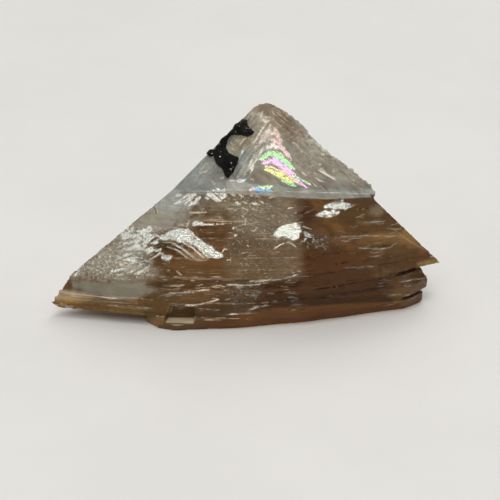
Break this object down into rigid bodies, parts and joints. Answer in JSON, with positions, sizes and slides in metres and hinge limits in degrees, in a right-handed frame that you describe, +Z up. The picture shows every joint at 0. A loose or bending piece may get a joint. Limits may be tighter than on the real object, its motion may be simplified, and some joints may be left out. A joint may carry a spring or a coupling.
{
  "type": "barite crystal",
  "caption": "Natural smoky barite crystal: a leaning stack of cleaved plates with sharp wing tips, a glassy crown on a flat shelf, and a small black mineral crust.",
  "frame": {"origin": "middle of the underside of the whole crystal's box, on the surface that it rests on", "axes": "+Z up, +X along the long cleaved plates towards the overhanging right tip, -Y towards the viewer of its best side"},
  "size_m": [0.0552, 0.0192, 0.0298],
  "materials": {
    "smoky_barite": "clear to smoky brown, glassy on the crown, satin to pearly on the broken plate edges",
    "black_mineral": "glossy, lumpy"
  },
  "bodies": {
    "root": {"barite_crystal": "smoky_barite", "black_mineral_crust": "black_mineral"}
  },
  "joints": []
}
